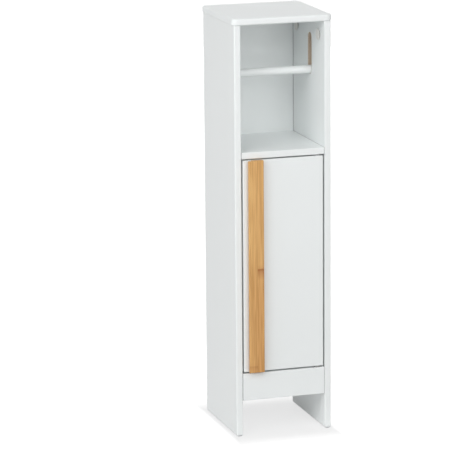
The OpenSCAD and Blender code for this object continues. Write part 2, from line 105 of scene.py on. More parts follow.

# Colours of the dowels, and the painted shade on the necks of the caps, under their rims
PALE_BEECH = (0.70, 0.50, 0.30)
DARK_BEECH = (0.58, 0.38, 0.20)
NECK_PAINTED_SHADE = (0.13, 0.105, 0.09)

# Colour and roughness of the plastics
# The nylon of the pivots is painted mid grey so that it reads as the shade of the door gap
NYLON_GREY_AS_SHADE = ((0.30, 0.30, 0.29), 0.48)
HOUSING_PLASTIC = ((0.80, 0.80, 0.77), 0.40)
CAP_PLASTIC = ((0.84, 0.83, 0.795), 0.40)

# Colour, roughness, grain and pits of the metals
BRIGHT_STEEL = ((0.56, 0.57, 0.59), 0.30, 0.9 * MM, 0.01 * MM)
CAST_ZINC = ((0.52, 0.53, 0.55), 0.48, 0.35 * MM, 0.03 * MM)
FERRITE = ((0.07, 0.07, 0.075), 0.62, 0.25 * MM, 0.04 * MM)

# How far the back layer of the handle has its seam to the left and its nodes higher
SEAM_STEP = 6 * MM
NODE_STEP = 90 * MM
# How dark the mark of a cane's node is, from some way above the node to some way below it
NODE_ABOVE = 9 * MM
NODE_BELOW = 21 * MM
NODE_MARK = (
    (0.0, 0.0), (0.27, 0.22), (0.32, 1.0), (0.37, 0.95), (0.46, 0.62), (0.62, 0.45), (1.0, 0.0),
)

# Large soft lights round the cabinet: name, place, width, watts, and whether its gloss mirrors them
SOFTBOXES = (
    ("front", (0.0, -4.0, 1.0), 2.6, 26, True),
    ("front_right", (1.4, -3.8, 1.0), 2.6, 10, True),
    ("front_high", (0.0, -3.2, 3.0), 2.6, 39, True),
    ("front_left", (-3.5, -2.1, 1.1), 2.6, 14, True),
    ("left", (-3.9, -1.0, 1.1), 2.6, 36, True),
    ("left_high", (-2.6, -2.4, 2.9), 2.6, 60, True),
    ("right", (4.0, 0.3, 1.2), 3.0, 34, True),
    ("back", (1.2, 3.8, 1.4), 3.0, 60, False),
    ("above", (0.0, 0.2, 4.2), 2.8, 24, False),
)
LIGHT_TARGET = Vector((0, 0, 0.4))

SENSOR_WIDTH = 36
FAR_CLIP = 100
FLOOR_SIZE = 15

# Floor. Light bounces off UNDER_GREY below the cabinet and off AROUND_GREY beside it. The camera
# sees SEEN_GREY and a GLOW, which is dimmed by PAINTED_SHADOW_GLOW below the cabinet as a painted
# shadow.
# The change starts at FOOTPRINT from the middle and takes SHADE_REACH, or to the sides that over
# SIDE_STEEPNESS.
UNDER_GREY = 0.95
AROUND_GREY = 0.63
SEEN_GREY = 0.25
GLOW = 1.07
PAINTED_SHADOW_GLOW = 0.64
FOOTPRINT = 90 * MM
SHADE_REACH = 110 * MM
SIDE_STEEPNESS = 6.0


# Sizes and colours that a user would change

class LacquerSettings(PropertyGroup):
    """Sprayed white lacquer and the fibreboard under it"""

    colour: FloatVectorProperty(
        name="Lacquer", description="Colour of the satin lacquer",
        subtype="COLOR", size=3, min=0, max=1, default=(0.903, 0.932, 0.930))
    roughness: FloatProperty(
        name="Roughness", description="Roughness of the satin lacquer",
        subtype="FACTOR", min=0, max=1, default=0.36)
    peel: FloatProperty(
        name="Orange peel", description="Width of a ripple in the sprayed lacquer",
        unit="LENGTH", min=0.0002, max=0.01, default=0.0018)
    fibreboard: FloatVectorProperty(
        name="Fibreboard", description="Colour of the raw fibreboard in the milled slots",
        subtype="COLOR", size=3, min=0, max=1, default=(0.64, 0.545, 0.44))
    skin: FloatProperty(
        name="Lacquered lip", description="How far the lacquer reaches into a cut",
        unit="LENGTH", min=0.0001, max=0.005, default=0.00095)
    # The dark line at the end of a board is partly painted shade of the corner between the boards
    joint: FloatProperty(
        name="Joint line", description="Width of the dark line at the end of a board",
        unit="LENGTH", min=0.0001, max=0.003, default=0.0015)
    # The foot rounding also sets how high the painted contact shadow at the lower end reaches
    foot: FloatProperty(
        name="Foot rounding", description="Rounding round the lower end of a side panel",
        unit="LENGTH", min=0.001, max=0.0059, default=0.0058)


class BambooSettings(PropertyGroup):
    """Bamboo strip handle, glued up from strips"""

    pale: FloatVectorProperty(
        name="Pale bamboo", description="Colour between the fibres",
        subtype="COLOR", size=3, min=0, max=1, default=(0.775, 0.455, 0.165))
    dark: FloatVectorProperty(
        name="Dark bamboo", description="Colour of the fibre bundles",
        subtype="COLOR", size=3, min=0, max=1, default=(0.56, 0.285, 0.085))
    seam: FloatProperty(
        name="Seam", description="Distance from the handle's left edge to the glued seam",
        unit="LENGTH", min=0.005, max=0.025, default=0.0153)
    node_right: FloatProperty(
        name="Right node", description="Height of the cane's node in the right strip",
        unit="LENGTH", min=0.1, max=0.6, default=0.3085)
    node_left: FloatProperty(
        name="Left node", description="Height of the cane's node in the left strip",
        unit="LENGTH", min=0.1, max=0.6, default=0.1315)


class FittingSettings(PropertyGroup):
    """Screws, bolts, dowels and locks"""

    screw_pitch: FloatProperty(
        name="Screw pitch", description="Distance between two turns of a wood screw's thread",
        unit="LENGTH", min=0.0005, max=0.003, default=0.0014)
    bolt_pitch: FloatProperty(
        name="Bolt pitch", description="Distance between two turns of a cam bolt's thread",
        unit="LENGTH", min=0.001, max=0.004, default=0.0022)
    thread_depth: FloatProperty(
        name="Thread depth", description="How deep the threads are cut, as a share of the radius",
        subtype="FACTOR", min=0.1, max=0.5, default=0.3)
    flutes: IntProperty(
        name="Flutes", description="Number of glue flutes round a dowel", min=6, max=24, default=16)
    flute_depth: FloatProperty(
        name="Flute depth", description="Depth of a dowel's glue flutes",
        unit="LENGTH", min=0.0001, max=0.0008, default=0.0003)


class StudioSettings(PropertyGroup):
    """Camera, light and floor"""

    eye: FloatVectorProperty(
        name="Camera", description="Place of the camera",
        subtype="TRANSLATION", unit="LENGTH", size=3, default=(-1.6287, -4.9581, 1.5181))
    turn: FloatProperty(
        name="Turn", description="How far the camera is turned to the right of +Y",
        unit="ROTATION", default=math.radians(17.53))
    tilt: FloatProperty(
        name="Tilt", description="How far the camera looks down",
        unit="ROTATION", default=math.radians(12.65))
    roll: FloatProperty(
        name="Roll", description="How far the camera leans",
        unit="ROTATION", default=math.radians(-0.44))
    lens: FloatProperty(
        name="Lens", description="Focal length on a sensor 36 mm wide",
        min=50, max=400, default=227.35)
    dome: FloatProperty(
        name="Dome", description="Strength of the even light from all round",
        min=0, max=2, default=0.06)
    softboxes: FloatProperty(
        name="Softboxes", description="Brightness of all the soft lights together",
        min=0, max=4, default=1.0)


class CabinetSettings(PropertyGroup):
    """All settings of the cabinet"""

    lacquer: PointerProperty(type=LacquerSettings)
    bamboo: PointerProperty(type=BambooSettings)
    fittings: PointerProperty(type=FittingSettings)
    studio: PointerProperty(type=StudioSettings)


# Shader maths

class Signal:
    """Output of a shader node; arithmetic on it adds Math nodes to its recipe."""

    def __init__(self, recipe, socket):
        self.recipe = recipe
        self.socket = socket

    def math(self, operation, first, second=0.0):
        """Result of a Math node on two values, of which some are signals."""
        return self.recipe.node("ShaderNodeMath", {"operation": operation}, {0: first, 1: second})

    def __add__(self, other):
        return self.math("ADD", self, other)

    def __radd__(self, other):
        return self.math("ADD", other, self)

    def __sub__(self, other):
        return self.math("SUBTRACT", self, other)

    def __rsub__(self, other):
        return self.math("SUBTRACT", other, self)

    def __mul__(self, other):
        return self.math("MULTIPLY", self, other)

    def __rmul__(self, other):
        return self.math("MULTIPLY", other, self)

    def __abs__(self):
        return self.math("ABSOLUTE", self)


def rgba(colour, shade=1.0):
    """Colour with an alpha of 1, made lighter or darker by shade."""
    return tuple(min(1.0, channel * shade) for channel in colour) + (1.0,)


class Recipe:
    """Node tree of one finish."""

    def __init__(self, tree):
        self.tree = tree
        tree.nodes.clear()

    def node(self, kind, settings=None, sockets=None, output=0):
        """Adds a node, sets it up, gives its sockets values or links, and returns one output."""
        made = self.tree.nodes.new(kind)
        for name, value in (settings or {}).items():
            if name == "stops":
                self.set_stops(made.color_ramp, value)
            else:
                setattr(made, name, value)
        for name, value in (sockets or {}).items():
            if isinstance(value, Signal):
                self.tree.links.new(value.socket, made.inputs[name])
            else:
                made.inputs[name].default_value = value
        return Signal(self, made.outputs[output]) if made.outputs else None

    def set_stops(self, ramp, stops):
        """Gives a colour ramp its stops, each a position and a grey level."""
        while len(ramp.elements) < len(stops):
            ramp.elements.new(1.0)
        for element, (position, level) in zip(ramp.elements, stops):
            element.position = position
            element.color = (level, level, level, 1.0)

    def place(self):
        """Place of a point, in the object's own coordinates."""
        return self.node("ShaderNodeTexCoord", output="Object")

    def split(self, vector):
        """X, Y and Z of a vector."""
        first = self.node("ShaderNodeSeparateXYZ", sockets={0: vector})
        return [Signal(self, output) for output in first.socket.node.outputs]

    def noise(self, place, scale=1.0, detail=2.0, rough=0.5):
        sockets = {"Vector": place, "Scale": scale, "Detail": detail, "Roughness": rough}
        return self.node("ShaderNodeTexNoise", sockets=sockets)

    def grain(self, place, axis, across, along, detail=2.0, rough=0.5):
        """Noise drawn out along one axis, by its scale across the grain and along it."""
        scale = [along if each == axis else across for each in range(3)]
        drawn = self.node("ShaderNodeMapping", sockets={"Vector": place, "Scale": scale})
        return self.noise(drawn, detail=detail, rough=rough)

    def rise(self, value, low, high, way="SMOOTHSTEP"):
        """Rise from 0 at low to 1 at high, smooth or straight."""
        sockets = {"Value": value, "From Min": low, "From Max": high}
        return self.node("ShaderNodeMapRange", {"interpolation_type": way}, sockets)

    def ramp(self, value, stops):
        """Level that follows stops as the value goes from 0 to 1."""
        return self.node("ShaderNodeValToRGB", {"stops": stops}, {0: value})

    def least(self, values):
        """Smallest of several values."""
        result = values[0]
        for value in values[1:]:
            result = result.math("MINIMUM", result, value)
        return result

    def blend(self, factor, first, second):
        """Mix of two colours."""
        sockets = {0: factor, 6: first, 7: second}
        return self.node("ShaderNodeMix", {"data_type": "RGBA"}, sockets, output=2)

    def stain(self, factor, colour, by):
        """Colour multiplied by another where the factor is high."""
        settings = {"data_type": "RGBA", "blend_type": "MULTIPLY"}
        return self.node("ShaderNodeMix", settings, {0: factor, 6: colour, 7: by}, output=2)

    def mixed(self, factor, first, second):
        """Mix of two shaders."""
        return self.node("ShaderNodeMixShader", sockets={0: factor, 1: first, 2: second})

    def bump(self, height, distance, strength=1.0):
        sockets = {"Height": height, "Distance": distance, "Strength": strength}
        return self.node("ShaderNodeBump", sockets=sockets)

    def surface(self, **sockets):
        """Ends the recipe in a Principled surface; Base_Color stands for the socket Base Color."""
        named = {name.replace("_", " "): value for name, value in sockets.items()}
        shader = self.node("ShaderNodeBsdfPrincipled", sockets=named)
        self.node("ShaderNodeOutputMaterial", sockets={"Surface": shader})


def new_finish(name):
    material = bpy.data.materials.new(name)
    material.use_nodes = True
    return material, Recipe(material.node_tree)


# Finishes

def lacquer_finish(settings, board=None):
    """Satin lacquer with a fine orange peel; in the cuts of a board the raw fibreboard shows."""
    material, recipe = new_finish("lacquered_" + (board or "parts"))
    place = recipe.place()
    cloud = recipe.noise(place, scale=9.0, detail=3.0)
    peel = recipe.noise(place, scale=1 / settings.peel, detail=1.0)
    colour = recipe.blend(cloud, rgba(settings.colour, 0.985), rgba(settings.colour, 1.015))
    roughness = settings.roughness + 0.08 * (cloud - 0.5)
    height = 0.12 * peel
    if board:
        depth = depth_in_board(recipe, place, board)
        raw = recipe.rise(depth, settings.skin, settings.skin + 0.15 * MM)
        fibres = recipe.noise(place, scale=700.0, detail=4.0, rough=0.7)
        dark, pale = rgba(settings.fibreboard, 0.75), rgba(settings.fibreboard, 1.2)
        colour = recipe.blend(raw, colour, recipe.blend(fibres, dark, pale))
        roughness = roughness + raw * (0.92 - roughness)
        height = height + raw * fibres
    # A dark line where a board meets a side panel, partly painted shade of the corner, and a
    # painted contact shadow that makes the lower end of a side panel greyer
    if board in BETWEEN_SIDES:
        from_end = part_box(board)[1].x - abs(recipe.split(place)[0])
        joint = 1.0 - recipe.rise(from_end, 0.0, settings.joint)
        colour = recipe.stain(joint, colour, rgba(JOINT_LINE_AND_CORNER_SHADE))
    if board in SIDE_PANELS:
        # Painted contact shadow: the lacquer turns grey towards the bottom of a side panel
        painted_sole_shadow = 1.0 - recipe.rise(recipe.split(place)[2], 0.0, settings.foot)
        colour = recipe.stain(painted_sole_shadow, colour, rgba(SOLE_PAINTED_SHADOW))
    normal = recipe.bump(height, distance=0.1 * MM, strength=0.5)
    recipe.surface(Base_Color=colour, Roughness=roughness, Normal=normal, IOR=1.5)
    return material


def depth_in_board(recipe, place, board):
    """How deep a point lies inside the box of a board."""
    low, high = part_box(board)
    margin = SLOT_MARGIN if board in SIDE_PANELS else Vector()
    depths = []
    for axis, start, end in zip(recipe.split(place), low + margin, high - margin):
        depths.append(axis - start)
        depths.append(end - axis)
    return recipe.least(depths)


def bamboo_finish(settings):
    """Bamboo strips in two layers, with long fibres and the marks of the cane's nodes."""
    material, recipe = new_finish("oiled_bamboo")
    low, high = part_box("door_handle")
    place = recipe.place()
    x, y, z = recipe.split(place)
    middle = (low.y + high.y) / 2
    behind = recipe.rise(y, middle - 0.1 * MM, middle + 0.1 * MM)
    seam = x - (low.x + settings.seam) + behind * SEAM_STEP
    right = recipe.rise(seam, -0.1 * MM, 0.1 * MM)
    glue = 1.0 - recipe.rise(abs(seam), 0.05 * MM, 0.22 * MM)

    # Each strip has its own stretch of fibres, dark where the bundles and bands are
    strip = right + 2.0 * behind
    elsewhere = {0: 0.31 * strip, 1: 0.17 * strip, 2: 0.53 * strip}
    offset = recipe.node("ShaderNodeCombineXYZ", sockets=elsewhere)
    shifted = recipe.node("ShaderNodeVectorMath", {"operation": "ADD"}, {0: place, 1: offset})
    fine = recipe.grain(shifted, axis=2, across=1700, along=30)
    bundles = recipe.grain(shifted, axis=2, across=640, along=16, detail=3.0, rough=0.6)
    bands = recipe.grain(shifted, axis=2, across=270, along=12, detail=1.0)
    drift = recipe.grain(shifted, axis=2, across=60, along=8)
    streaks = recipe.rise(bundles, 0.38, 0.72)
    tone = 0.32 * streaks + 0.25 * recipe.rise(fine, 0.35, 0.7)
    tone = tone + 0.60 * recipe.rise(bands, 0.34, 0.66)
    tone = tone + 0.30 * (drift - 0.5) + 0.10 * right - 0.09
    colour = recipe.blend(tone, rgba(settings.pale), rgba(settings.dark))

    # The cane is darker below the right strip's node, and darkest at the nodes and the glue
    lower = recipe.rise(settings.node_right - z, -20 * MM, 60 * MM)
    colour = recipe.stain(lower * (0.6 + 0.4 * right), colour, rgba(LOWER_CANE))
    wave = 1.4 * MM * (drift - 0.5) + 0.9 * MM * (fine - 0.5)
    nodes = (settings.node_right - z) * right + (settings.node_left - z) * (1.0 - right)
    below = nodes + wave + behind * NODE_STEP
    node_mark = recipe.ramp(recipe.rise(below, -NODE_ABOVE, NODE_BELOW, "LINEAR"), NODE_MARK)
    node_mark = node_mark * (0.4 + 0.6 * right)
    colour = recipe.stain(node_mark, colour, rgba(CANE_NODE))
    colour = recipe.stain(0.5 * glue, colour, rgba(GLUE_LINE))

    height = 0.4 * streaks + 0.25 * fine - 0.8 * glue + 0.8 * node_mark
    normal = recipe.bump(height, distance=0.06 * MM, strength=0.6)
    recipe.surface(
        Base_Color=colour, Roughness=0.40 + 0.16 * streaks, Normal=normal, IOR=1.48,
        Coat_Weight=0.12, Coat_Roughness=0.25)
    return material


def metal_finish(name, colour, roughness, grain, pit):
    """Plated or cast metal: faint clouds in its polish, and a fine grain."""
    material, recipe = new_finish(name)
    place = recipe.place()
    cloud = recipe.noise(place, scale=160.0, detail=3.0)
    fine = recipe.noise(place, scale=1 / grain, detail=3.0, rough=0.6)
    recipe.surface(
        Base_Color=recipe.blend(cloud, rgba(colour, 0.88), rgba(colour, 1.1)),
        Roughness=roughness + 0.18 * (cloud - 0.5) + 0.08 * (fine - 0.5),
        Normal=recipe.bump(fine, distance=pit, strength=0.5), Metallic=1.0)
    return material


def plastic_finish(name, colour, roughness, painted_shade_from=None):
    """Moulded plastic with a fine spark-eroded texture, and painted shade from some way out across
    X.
    """
    material, recipe = new_finish(name)
    place = recipe.place()
    cloud = recipe.noise(place, scale=120.0, detail=2.0)
    spark = recipe.noise(place, scale=4200.0, detail=2.0)
    shade = recipe.blend(cloud, rgba(colour, 0.97), rgba(colour, 1.02))
    if painted_shade_from:
        # Painted shade: the neck under the cap's rim turns dark
        neck_shade = recipe.rise(abs(recipe.split(place)[0]), painted_shade_from, painted_shade_from + 0.2 * MM)
        shade = recipe.blend(neck_shade, shade, rgba(NECK_PAINTED_SHADE))
    recipe.surface(
        Base_Color=shade, Roughness=roughness + 0.1 * (spark - 0.5),
        Normal=recipe.bump(spark, distance=0.02 * MM, strength=0.4), IOR=1.5)
    return material


def beech_finish(name, axis):
    """Raw beech with its short dark flecks, grown along one axis."""
    material, recipe = new_finish(name)
    place = recipe.place()
    pores = recipe.grain(place, axis, across=1500.0, along=130.0)
    fleck = recipe.rise(pores, 0.5, 0.72)
    ring = recipe.grain(place, axis, across=300.0, along=12.0)
    wood = recipe.blend(ring, rgba(PALE_BEECH), rgba(DARK_BEECH))
    recipe.surface(
        Base_Color=recipe.stain(0.6 * fleck, wood, rgba(BEECH_PORES)),
        Roughness=0.62 + 0.15 * fleck,
        Normal=recipe.bump(ring - fleck, distance=0.05 * MM, strength=0.5))
    return material


def dress(nodes, material):
    """Gives carried-over pieces their finish."""
    for name in nodes:
        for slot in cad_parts[name].material_slots:
            slot.material = material


# Meshes. A fitting is made once at the origin, with +Z into the board, and its copies are placed.

def shells(node):
    """Lowest and highest corner of each separate solid of a node."""
    mesh = bmesh.new()
    mesh.from_mesh(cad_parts[node].data)
    bmesh.ops.remove_doubles(mesh, verts=mesh.verts, dist=WELD)
    waiting = set(mesh.verts)
    boxes = []
    while waiting:
        solid = [waiting.pop()]
        for vertex in solid:
            for edge in vertex.link_edges:
                other = edge.other_vert(vertex)
                if other in waiting:
                    waiting.remove(other)
                    solid.append(other)
        low = Vector([min(vertex.co[axis] for vertex in solid) for axis in range(3)])
        high = Vector([max(vertex.co[axis] for vertex in solid) for axis in range(3)])
        boxes.append((low, high))
    mesh.free()
    return sorted(boxes, key=lambda box: [round(value, 4) for value in box[0]])


def length_along(box, into):
    """Length of a solid along one of the axes."""
    return abs((box[1] - box[0]).dot(into))


def seat(box, into, towards):
    """Places a fitting: its origin on the middle of the box's near face, +Z into, +X towards."""
    middle = (box[0] + box[1]) / 2
    turned_frame = Matrix((towards, into.cross(towards), into)).transposed().to_4x4()
    return Matrix.Translation(middle - into * length_along(box, into) / 2) @ turned_frame


def outwards(box):
    """Direction of X from the middle of the cabinet to a solid."""
    return Vector((math.copysign(1, box[0].x + box[1].x), 0, 0))


def nearest(boxes, box):
    """The box whose middle is nearest to that of another box."""
    middle = box[0] + box[1]
    return min(boxes, key=lambda each: (each[0] + each[1] - middle).length)


def finished(mesh):
    """Merges doubles and makes all faces of a closed mesh point outwards."""
    bmesh.ops.remove_doubles(mesh, verts=mesh.verts, dist=WELD)
    bmesh.ops.recalc_face_normals(mesh, faces=mesh.faces)
    return mesh


def turned(profile, steps=40):
    """Spins a profile of radii and heights round +Z; it starts and ends on the axis."""
    mesh = bmesh.new()
    points = [mesh.verts.new((radius, 0, height)) for radius, height in profile]
    edges = [mesh.edges.new(pair) for pair in zip(points, points[1:])]
    bmesh.ops.spin(
        mesh, geom=points + edges, cent=(0, 0, 0), axis=(0, 0, 1), dvec=(0, 0, 0),
        angle=math.tau, steps=steps, use_merge=True)
    return finished(mesh)


def thread_ridge(core, crest, pitch, start, stop, tip=0.0, steps=20):
    """Ridge of a thread from start to stop, which fades in and out, and follows a pointed tip."""
    mesh = bmesh.new()
    root = core * 0.94
    half = pitch * 0.3
    end = stop - half
    corners = [(root, start - half), (crest, start), (root, start + half)]
    points = [mesh.verts.new((radius, 0, height)) for radius, height in corners]
    edges = [mesh.edges.new((points[i], points[i - 1])) for i in range(3)]
    turns = (end - start) / pitch
    bmesh.ops.spin(
        mesh, geom=points + edges, cent=(0, 0, 0), axis=(0, 0, 1), dvec=(0, 0, pitch / steps),
        angle=math.tau * turns, steps=round(steps * turns), use_merge=False)
    bmesh.ops.holes_fill(mesh, edges=mesh.edges, sides=3)
    for vertex in mesh.verts:
        radius = vertex.co.xy.length
        from_start = max(0.0, (vertex.co.z - start) / pitch)
        fade = min(1.0, from_start, max(0.0, (end - vertex.co.z) / pitch))
        if radius > core:
            vertex.co.xy *= (core + (radius - core) * max(fade, 0.02)) / radius
        if tip:
            vertex.co.xy *= min(1.0, max(0.12, (stop - vertex.co.z) / tip))
    return finished(mesh)


def block(size, place, taper=1.0, turn=0.0):
    """Box round a place; its end towards +Z is scaled by taper, and it is turned round +Z."""
    mesh = bmesh.new()
    bmesh.ops.create_cube(mesh, size=1, matrix=Matrix.Diagonal((*size, 1)))
    far = [vertex for vertex in mesh.verts if vertex.co.z > 0]
    bmesh.ops.scale(mesh, vec=(taper, taper, 1), verts=far)
    place_and_turn = Matrix.Translation(place) @ Matrix.Rotation(turn, 4, "Z")
    bmesh.ops.transform(mesh, matrix=place_and_turn, verts=mesh.verts)
    return mesh


def bar(radius, length, place, along="Z", sides=32):
    """Round bar round a place, along X or Z; three sides make it a wedge that points to +X."""
    mesh = bmesh.new()
    lay = Matrix.Rotation(math.radians(90), 4, "Y" if along == "X" else "Z")
    bmesh.ops.create_cone(
        mesh, cap_ends=True, segments=sides, radius1=radius, radius2=radius, depth=length,
        matrix=Matrix.Translation(place) @ lay)
    return mesh


def as_object(mesh, name):
    """Turns a bmesh into an object of the scene."""
    data = bpy.data.meshes.new(name)
    mesh.to_mesh(data)
    mesh.free()
    thing = bpy.data.objects.new(name, data)
    bpy.context.scene.collection.objects.link(thing)
    return thing


def combined(body, tools, operation):
    """Cuts the tools from a closed mesh, or joins them to it."""
    things = [as_object(mesh, "workpiece") for mesh in (body, *tools)]
    for tool in things[1:]:
        modifier = things[0].modifiers.new("combine", "BOOLEAN")
        modifier.operation = operation
        modifier.solver = "EXACT"
        modifier.object = tool
    bpy.context.view_layer.update()
    evaluated = things[0].evaluated_get(bpy.context.evaluated_depsgraph_get())
    result = bmesh.new()
    result.from_mesh(evaluated.data)
    for thing in things:
        data = thing.data
        bpy.data.objects.remove(thing)
        bpy.data.meshes.remove(data)
    return finished(result)


def spread(prototype, places):
    """Copies of a mesh at several places, as one mesh."""
    data = bpy.data.meshes.new("prototype")
    prototype.to_mesh(data)
    prototype.free()
    result = bmesh.new()
    for place in places:
        known = len(result.verts)
        result.from_mesh(data)
        bmesh.ops.transform(result, matrix=place, verts=result.verts[known:])
    bpy.data.meshes.remove(data)
    return result


def cross_recess(width, length, depth, turn=0.0):
    """Two crossed blocks that taper into the metal, to be cut from a head at the origin."""
    return [
        block((length, width, 2 * depth), (0, 0, 0), taper=0.55, turn=turn + quarter)
        for quarter in (0, math.radians(90))
    ]


def wood_screw(head, shank, length, settings):
    """Countersunk wood screw with a cross recess and a pointed tip."""
    core = shank * (1 - settings.thread_depth)
    neck = COUNTERSINK + settings.screw_pitch
    tip = length - SCREW_TIP
    body = turned([
        (0, 0), (head - 0.3 * MM, 0), (head - 0.12 * MM, 0.08 * MM), (shank * 0.97, COUNTERSINK),
        (shank * 0.9, COUNTERSINK + 0.2 * MM), (shank * 0.9, neck), (core, neck + 0.4 * MM),
        (core, tip), (0.12 * MM, length - 0.05 * MM), (0, length)])
    ridge = thread_ridge(
        core, shank - 0.02 * MM, settings.screw_pitch, neck, length - 0.3 * MM, tip=SCREW_TIP)
    screw = combined(body, [ridge], "UNION")
    recess = cross_recess(width=0.9 * MM, length=head, depth=1.2 * MM)
    return combined(screw, recess, "DIFFERENCE")


def cam_bolt(full, length, settings):
    """Bolt whose head sits in a cam lock, with a coarse thread for the board on its other end."""
    shank = BOLT_SHANK / 2
    core = full * (1 - settings.thread_depth)
    thread = length - BOLT_THREAD
    body = turned([
        (0, 0), (full - 0.6 * MM, 0), (full, 0.6 * MM), (full, BOLT_HEAD - 0.5 * MM),
        (shank, BOLT_HEAD), (shank, thread - BOLT_COLLAR), (full, thread - BOLT_COLLAR),
        (full, thread - 0.3 * MM), (core, thread), (core, length - 0.8 * MM),
        (core - 0.7 * MM, length), (0, length)])
    ridge = thread_ridge(core, full, settings.bolt_pitch, thread + 0.3 * MM, length - 0.1 * MM)
    bolt = combined(body, [ridge], "UNION")
    recess = cross_recess(width=0.9 * MM, length=full, depth=1.0 * MM)
    return combined(bolt, recess, "DIFFERENCE")


def fluted_dowel(full, length, settings):
    """Beech dowel with chamfered ends and glue flutes pressed into it."""
    mesh = bmesh.new()
    bmesh.ops.create_circle(mesh, cap_ends=True, segments=4 * settings.flutes, radius=full)
    mesh.verts.ensure_lookup_table()
    for vertex in mesh.verts:
        angle = math.atan2(vertex.co.y, vertex.co.x)
        press = max(0.0, math.cos(settings.flutes * angle)) * settings.flute_depth
        vertex.co.xy *= (full - press) / full
    end_scale = 1 - 0.7 * DOWEL_CHAMFER / full
    stages = (
        (DOWEL_CHAMFER, 1 / end_scale),
        (length - 2 * DOWEL_CHAMFER, 1.0),
        (DOWEL_CHAMFER, end_scale),
    )
    bmesh.ops.scale(mesh, vec=(end_scale, end_scale, 1), verts=mesh.verts)
    first = mesh.faces[:][0]
    face = first
    for height, scale in stages:
        grown = bmesh.ops.extrude_face_region(mesh, geom=[face])["geom"]
        points = [part for part in grown if isinstance(part, bmesh.types.BMVert)]
        bmesh.ops.scale(mesh, vec=(scale, scale, 1), verts=points)
        bmesh.ops.translate(mesh, vec=(0, 0, height), verts=points)
        if face != first:
            bmesh.ops.delete(mesh, geom=[face], context="FACES_ONLY")
        face = [part for part in grown if isinstance(part, bmesh.types.BMFace)][0]
    return finished(mesh)


def cam_lock(full, height, bolt_depth):
    """Die-cast lock: a drum with a ringed face, a cross and an arrow, and room for its bolt."""
    drum = turned([
        (0, 0), (full * 0.66, 0), (full * 0.70, 0.3 * MM), (full * 0.86, 0.3 * MM),
        (full * 0.90, 0), (full - 0.3 * MM, 0), (full, 0.3 * MM), (full, height - 0.4 * MM),
        (full - 0.4 * MM, height), (0, height)])
    slot_half = BOLT_SHANK / 2 + BOLT_SLACK
    pocket = BOLT_RADIUS + BOLT_SLACK
    pocket_half = BOLT_HEAD / 2 + BOLT_SLACK
    slot_height = 2 * (height - bolt_depth + slot_half)
    slot_middle = bolt_depth - slot_half + slot_height / 2
    tools = [
        block((2 * full, 2 * slot_half, slot_height), (full, 0, slot_middle)),
        bar(pocket, 2 * pocket_half, (0, 0, bolt_depth), along="X"),
        block((2 * pocket_half, 2 * pocket, 2 * (height - bolt_depth)), (0, 0, height)),
        bar(PEG_HOLE, 3.6 * MM, (0, 0, 0)),
        bar(0.9 * MM, 1.3 * MM, (full * 0.77, 0, 0), sides=3),
        *cross_recess(
            width=1.8 * MM, length=full * 1.33, depth=1.2 * MM, turn=math.radians(45)),
    ]
    return combined(drum, tools, "DIFFERENCE")


def lock_cap(full, length):
    """Cover cap of a lock: a disc with a rounded rim, a narrower neck, and a peg for the lock."""
    rim = []
    for degrees in range(0, 121, 15):
        turn = math.radians(degrees)
        rim.append((full - CAP_RIM * (1 - math.sin(turn)), CAP_RIM * (1 - math.cos(turn))))
    under = rim[-1][1]
    neck = full - CAP_NECK
    return turned([
        (0, 0), *rim, (neck, under), (neck, CAP_HEIGHT), (PEG_RADIUS, CAP_HEIGHT),
        (PEG_RADIUS, length - 0.3 * MM), (PEG_RADIUS - 0.3 * MM, length), (0, length)], steps=64)


def board_with_foot(node, radius, steps=7):
    """Copy of a standing board, with a rounding of one radius all round its lower end."""
    mesh = bmesh.new()
    mesh.from_mesh(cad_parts[node].data)
    bmesh.ops.remove_doubles(mesh, verts=mesh.verts, dist=WELD)
    low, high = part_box(node)
    for step in range(1, steps + 1):
        height = radius * (1 - math.cos(math.pi / 2 * step / steps))
        bmesh.ops.bisect_plane(
            mesh, geom=mesh.verts[:] + mesh.edges[:] + mesh.faces[:], dist=WELD,
            plane_co=low + UP * height, plane_no=UP)
    for vertex in mesh.verts:
        below = min(radius, max(0.0, low.z + radius - vertex.co.z))
        inset = radius - math.sqrt(radius ** 2 - below ** 2)
        for axis in (0, 1):
            vertex.co[axis] = min(max(vertex.co[axis], low[axis] + inset), high[axis] - inset)
    return finished(mesh)


def add_piece(name, mesh, material, slot, body, *nodes):
    """Puts a finished mesh in the scene in the place of CAD nodes; square faces are shaded flat."""
    piece = as_object(mesh, name)
    piece.data.shade_smooth()
    piece.data.set_sharp_from_angle(angle=SHARP_ANGLE)
    for face in piece.data.polygons:
        face.use_smooth = max(abs(part) for part in face.normal) < SQUARE_FACE
    piece.data.materials.append(material)
    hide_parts(*nodes)
    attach(piece, body)
    return piece


# Operators, in the order in which the cabinet is finished

class ROLLCABINET_OT_boards(Operator):
    """Lacquers the carcass boards, the top and the door"""

    bl_idname = "roll_cabinet.boards"
    bl_label = "Lacquered boards"

    def execute(self, context):
        settings = context.scene.roll_cabinet.lacquer
        for board in BOARDS:
            dress([board], lacquer_finish(settings, board))
        dress(["top_panel", "paper_rod"], lacquer_finish(settings))
        for panel in SIDE_PANELS:
            finish = lacquer_finish(settings, panel)
            piece = board_with_foot(panel, settings.foot)
            add_piece("footed_" + panel, piece, finish, "white_lacquer", "carcass", panel)
        return {"FINISHED"}


class ROLLCABINET_OT_handle(Operator):
    """Oils the bamboo strip handle"""

    bl_idname = "roll_cabinet.handle"
    bl_label = "Bamboo handle"

    def execute(self, context):
        dress(["door_handle"], bamboo_finish(context.scene.roll_cabinet.bamboo))
        return {"FINISHED"}


